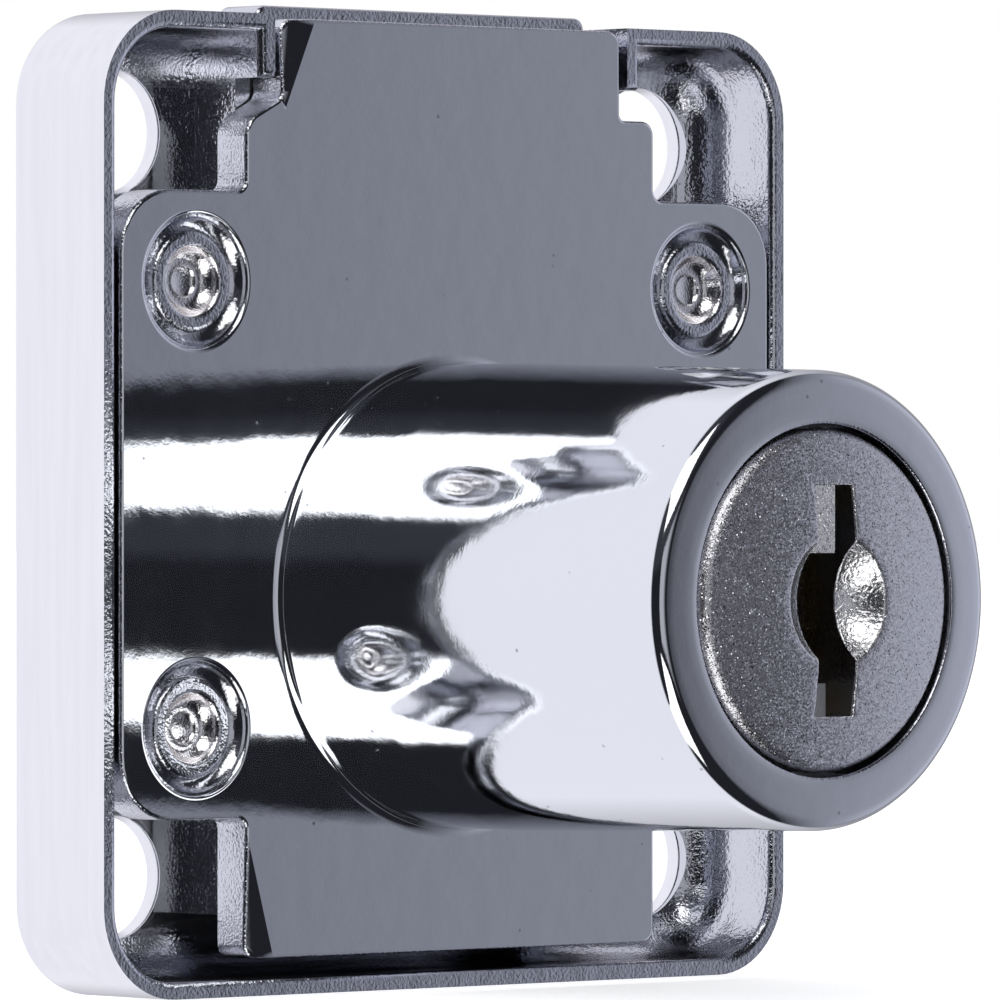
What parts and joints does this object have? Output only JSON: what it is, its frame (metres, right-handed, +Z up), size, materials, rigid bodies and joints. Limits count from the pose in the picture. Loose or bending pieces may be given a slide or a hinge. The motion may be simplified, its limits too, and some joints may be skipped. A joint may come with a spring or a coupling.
{
  "type": "drawer lock",
  "caption": "Surface drawer lock with a cross-shaped front, a round barrel with a keyed plug, and a flat bolt that throws upward out of a shallow tray case.",
  "frame": {"origin": "the barrel's axis where it leaves the mounting plane, which is the plane of the front plate and the case's rim", "axes": "-Y out of the barrel's front, +Z up in the direction of the bolt's throw, +X to the right seen from the front"},
  "size_m": [0.038, 0.0287, 0.0405],
  "materials": {
    "case_chrome": "satin plated die casting with a polished rim",
    "body_chrome": "polished chrome plate on a die casting",
    "rivet_steel": "plated, spun over",
    "bolt_zinc": "as cast zinc alloy",
    "plug_satin": "satin pearl plate with a polished dimple",
    "wafer_brass": "stamped",
    "spring_steel": "drawn wire and hardened strip"
  },
  "bodies": {
    "casing": {"rear_case": "case_chrome", "front_body": "body_chrome", "rivets": "rivet_steel"},
    "plug": {"plug": "plug_satin", "retaining_clip": "spring_steel", "wafer_spring_1": "spring_steel", "wafer_spring_2": "spring_steel", "wafer_spring_3": "spring_steel", "wafer_spring_4": "spring_steel", "wafer_spring_5": "spring_steel", "wafer_spring_6": "spring_steel", "wafer_spring_7": "spring_steel", "wafer_spring_8": "spring_steel"},
    "bolt": {"bolt": "bolt_zinc"},
    "wafer_1": {"wafer_1": "wafer_brass"},
    "wafer_2": {"wafer_2": "wafer_brass"},
    "wafer_3": {"wafer_3": "wafer_brass"},
    "wafer_4": {"wafer_4": "wafer_brass"},
    "wafer_5": {"wafer_5": "wafer_brass"},
    "wafer_6": {"wafer_6": "wafer_brass"},
    "wafer_7": {"wafer_7": "wafer_brass"},
    "wafer_8": {"wafer_8": "wafer_brass"}
  },
  "joints": [
    {"name": "plug_turn", "type": "hinge", "parent": "casing", "child": "plug", "pos_m": [0, 0, 0], "axis": [0, 1, 0], "range_deg": [0, 180]},
    {"name": "bolt_slide", "type": "slide", "parent": "casing", "child": "bolt", "axis": [0, 0, 1], "range_m": [0, 0.008]},
    {"name": "wafer_1_slide", "type": "slide", "parent": "plug", "child": "wafer_1", "axis": [0, 0, 1], "range_m": [0, 0.0006], "deforming": ["wafer_spring_1"]},
    {"name": "wafer_2_slide", "type": "slide", "parent": "plug", "child": "wafer_2", "axis": [0, 0, -1], "range_m": [0, 0.0006], "deforming": ["wafer_spring_2"]},
    {"name": "wafer_3_slide", "type": "slide", "parent": "plug", "child": "wafer_3", "axis": [0, 0, 1], "range_m": [0, 0.0006], "deforming": ["wafer_spring_3"]},
    {"name": "wafer_4_slide", "type": "slide", "parent": "plug", "child": "wafer_4", "axis": [0, 0, -1], "range_m": [0, 0.0006], "deforming": ["wafer_spring_4"]},
    {"name": "wafer_5_slide", "type": "slide", "parent": "plug", "child": "wafer_5", "axis": [0, 0, 1], "range_m": [0, 0.0006], "deforming": ["wafer_spring_5"]},
    {"name": "wafer_6_slide", "type": "slide", "parent": "plug", "child": "wafer_6", "axis": [0, 0, -1], "range_m": [0, 0.0006], "deforming": ["wafer_spring_6"]},
    {"name": "wafer_7_slide", "type": "slide", "parent": "plug", "child": "wafer_7", "axis": [0, 0, 1], "range_m": [0, 0.0006], "deforming": ["wafer_spring_7"]},
    {"name": "wafer_8_slide", "type": "slide", "parent": "plug", "child": "wafer_8", "axis": [0, 0, -1], "range_m": [0, 0.0006], "deforming": ["wafer_spring_8"]}
  ],
  "couplings": [
    {"joint": "bolt_slide", "follows": "plug_turn", "m_per_rad": 0.0025465}
  ]
}
